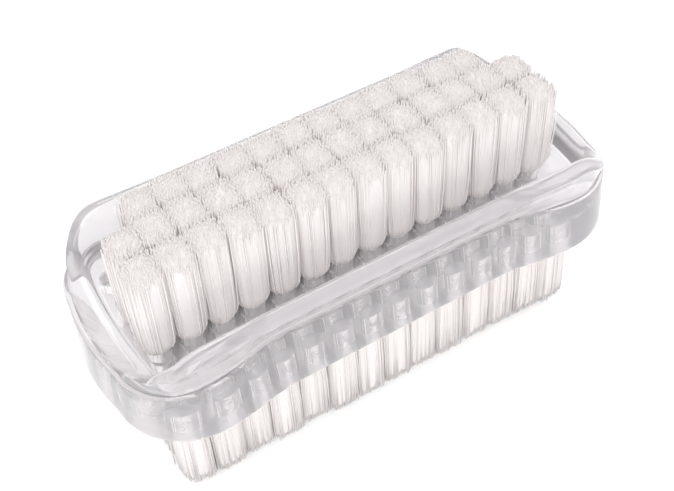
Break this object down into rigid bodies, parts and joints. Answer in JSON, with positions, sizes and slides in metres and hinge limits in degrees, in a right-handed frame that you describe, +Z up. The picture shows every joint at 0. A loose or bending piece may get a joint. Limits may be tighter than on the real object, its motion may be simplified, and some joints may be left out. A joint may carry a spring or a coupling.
{
  "type": "nail brush",
  "caption": "Double-sided nail brush: a clear moulded body with a walled tray, low scooped ends and a waisted grip, with white nylon tufts standing from the tray and the underside.",
  "frame": {"origin": "under the middle of the brush, on the plane its lower tufts rest on", "axes": "+X along the brush, +Y across it away from the viewer of the picture, +Z up through the tray"},
  "size_m": [0.095, 0.0412, 0.046],
  "materials": {
    "clear_plastic": "clear, colourless, polished moulding",
    "nylon": "white nylon filaments, cut level",
    "anchor_metal": "flat drawn wire"
  },
  "bodies": {
    "root": {"body": "clear_plastic", "lower_anchors_left_end": "anchor_metal", "lower_anchors_right_end": "anchor_metal", "lower_anchors_row_1": "anchor_metal", "lower_anchors_row_2": "anchor_metal", "lower_anchors_row_3": "anchor_metal", "lower_anchors_row_4": "anchor_metal", "lower_anchors_row_5": "anchor_metal", "lower_tufts_left_end": "nylon", "lower_tufts_right_end": "nylon", "lower_tufts_row_1": "nylon", "lower_tufts_row_2": "nylon", "lower_tufts_row_3": "nylon", "lower_tufts_row_4": "nylon", "lower_tufts_row_5": "nylon", "upper_anchors_left_end": "anchor_metal", "upper_anchors_right_end": "anchor_metal", "upper_anchors_row_1": "anchor_metal", "upper_anchors_row_2": "anchor_metal", "upper_anchors_row_3": "anchor_metal", "upper_tufts_left_end": "nylon", "upper_tufts_right_end": "nylon", "upper_tufts_row_1": "nylon", "upper_tufts_row_2": "nylon", "upper_tufts_row_3": "nylon"}
  },
  "joints": []
}
